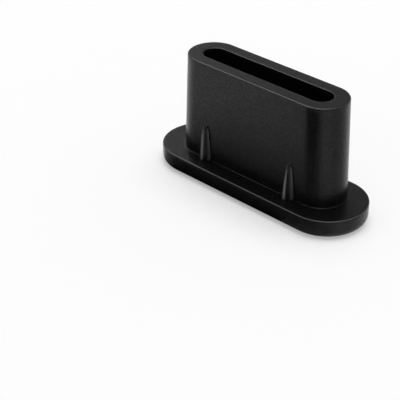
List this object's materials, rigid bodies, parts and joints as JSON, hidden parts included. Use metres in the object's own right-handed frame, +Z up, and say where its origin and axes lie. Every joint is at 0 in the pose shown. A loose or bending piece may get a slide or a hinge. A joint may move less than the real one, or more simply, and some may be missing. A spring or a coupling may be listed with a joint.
{
  "type": "usb-c dust plug",
  "caption": "Soft moulded dust plug for a USB-C socket: obround head with a rounded outer edge, tapered stem slotted for the socket's tongue, and bullet-shaped crush ribs.",
  "frame": {"origin": "middle of the head's flat outer face, which the plug stands on", "axes": "+Z up the stem to its tip, +X along the long side, +Y across the stem"},
  "size_m": [0.0104, 0.0036, 0.0052],
  "materials": {
    "black_silicone": "matte black with a fine moulded grain"
  },
  "bodies": {
    "root": {"dust_plug": "black_silicone"}
  },
  "joints": []
}
